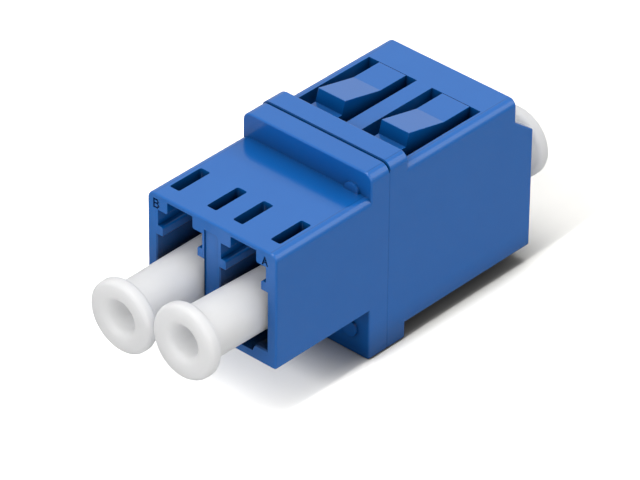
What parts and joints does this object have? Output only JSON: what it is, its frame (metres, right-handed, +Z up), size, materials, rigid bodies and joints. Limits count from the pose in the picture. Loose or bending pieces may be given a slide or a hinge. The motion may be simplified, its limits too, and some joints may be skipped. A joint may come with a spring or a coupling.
{
  "type": "lc fibre adapter",
  "caption": "Duplex fibre adapter with snap-in flanged housing, ports at both ends, split sleeves inside and pull-off dust caps.",
  "frame": {"origin": "in the weld seam of the flange, midway across the two ports, level with the foot of the flange", "axes": "+X across the ports to the right as seen from the front, +Y from the front ports to the rear ports, +Z up"},
  "size_m": [0.0126, 0.037, 0.0164],
  "materials": {
    "blue_plastic": "satin moulded",
    "white_plastic": "soft translucent",
    "zirconia": "polished ceramic"
  },
  "bodies": {
    "adapter": {"front_housing": "blue_plastic", "rear_housing": "blue_plastic", "sleeve_left": "zirconia", "sleeve_right": "zirconia"},
    "latch_left": {"latch_arm_left": "blue_plastic"},
    "latch_right": {"latch_arm_right": "blue_plastic"},
    "cap_front_right": {"cap_front_right": "white_plastic"},
    "cap_front_left": {"cap_front_left": "white_plastic"},
    "cap_rear_right": {"cap_rear_right": "white_plastic"},
    "cap_rear_left": {"cap_rear_left": "white_plastic"}
  },
  "joints": [
    {"name": "latch_left_press", "type": "hinge", "parent": "adapter", "child": "latch_left", "pos_m": [-0.00313, 0.0109, 0.01429], "axis": [1, 0, 0], "range_deg": [0, 8], "stiffness_Nm_per_rad": 0.27},
    {"name": "latch_right_press", "type": "hinge", "parent": "adapter", "child": "latch_right", "pos_m": [0.00313, 0.0109, 0.01429], "axis": [1, 0, 0], "range_deg": [0, 8], "stiffness_Nm_per_rad": 0.27},
    {"name": "cap_front_right_pull", "type": "slide", "parent": "adapter", "child": "cap_front_right", "axis": [0, -0.9995, 0.0332], "range_m": [0, 0.02]},
    {"name": "cap_front_left_pull", "type": "slide", "parent": "adapter", "child": "cap_front_left", "axis": [0, -0.9998, -0.0209], "range_m": [0, 0.02]},
    {"name": "cap_rear_right_pull", "type": "slide", "parent": "adapter", "child": "cap_rear_right", "axis": [0, 0.9995, 0.0332], "range_m": [0, 0.02]},
    {"name": "cap_rear_left_pull", "type": "slide", "parent": "adapter", "child": "cap_rear_left", "axis": [0, 0.9999, -0.0105], "range_m": [0, 0.02]}
  ]
}
